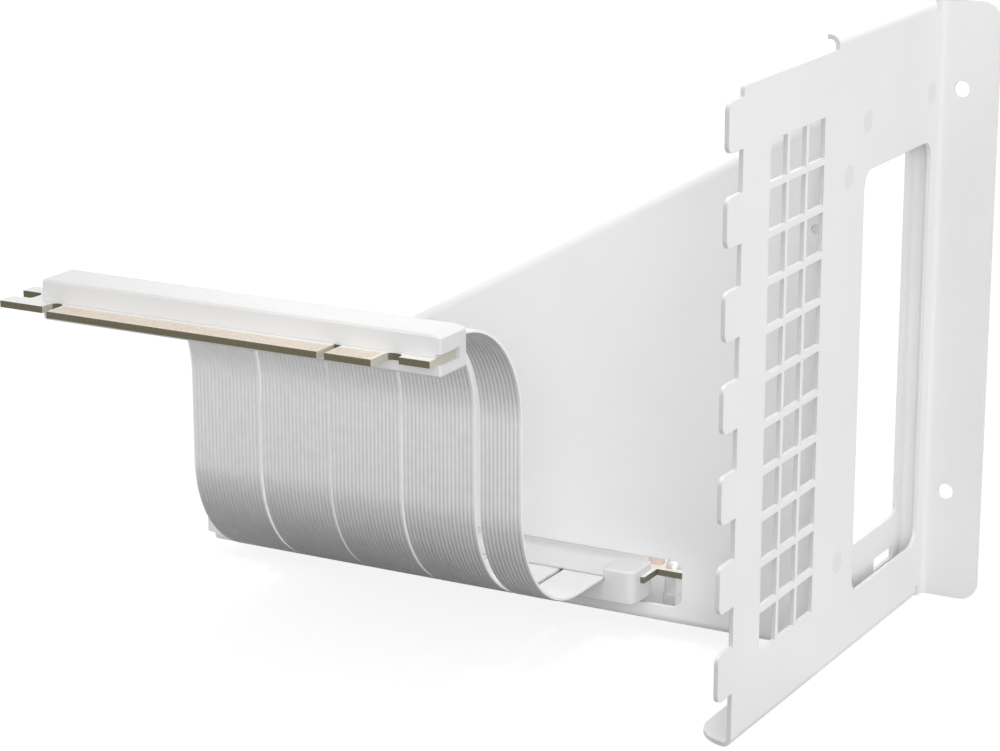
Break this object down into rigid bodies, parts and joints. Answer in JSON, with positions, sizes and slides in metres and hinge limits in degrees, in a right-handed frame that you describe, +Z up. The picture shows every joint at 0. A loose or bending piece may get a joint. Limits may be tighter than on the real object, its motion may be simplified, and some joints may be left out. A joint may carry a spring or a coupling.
{
  "type": "vertical graphics card mount",
  "caption": "Folded steel bracket that holds a graphics card upright in a computer case, with a flat ribbon riser from an edge plug to a card socket on its shelf.",
  "frame": {"origin": "middle of the two screw holes, on the flange face that meets the case", "axes": "+X out of the back of the case along the card's length, +Y from the case tabs to the screw flange, +Z up the card's height"},
  "size_m": [0.1905, 0.1564, 0.1514],
  "materials": {
    "white_steel": "matte white powder coat",
    "plated_steel": "bright plated",
    "gold": "gold plated",
    "white_board": "white solder mask on glass laminate",
    "chip_ceramic": "matte ceramic",
    "white_plastic": "fine moulded satin",
    "ribbon_grey": "ribbed flat cable jacket"
  },
  "bodies": {
    "root": {"io_plate": "white_steel", "side_panel": "white_steel", "slot_frame": "white_steel", "board_standoffs": "plated_steel", "board_screws": "plated_steel", "socket_board": "white_board", "filter_capacitor": "chip_ceramic", "socket_housing": "white_plastic", "socket_contacts_near": "gold", "socket_contacts_far": "gold", "socket_overmold": "white_plastic", "ribbon_strip_1": "ribbon_grey", "ribbon_strip_2": "ribbon_grey", "ribbon_strip_3": "ribbon_grey", "ribbon_strip_4": "ribbon_grey", "ribbon_strip_5": "ribbon_grey", "plug_overmold": "white_plastic", "plug_board": "white_board", "plug_contacts_upper": "gold", "plug_contacts_lower": "gold"}
  },
  "joints": []
}
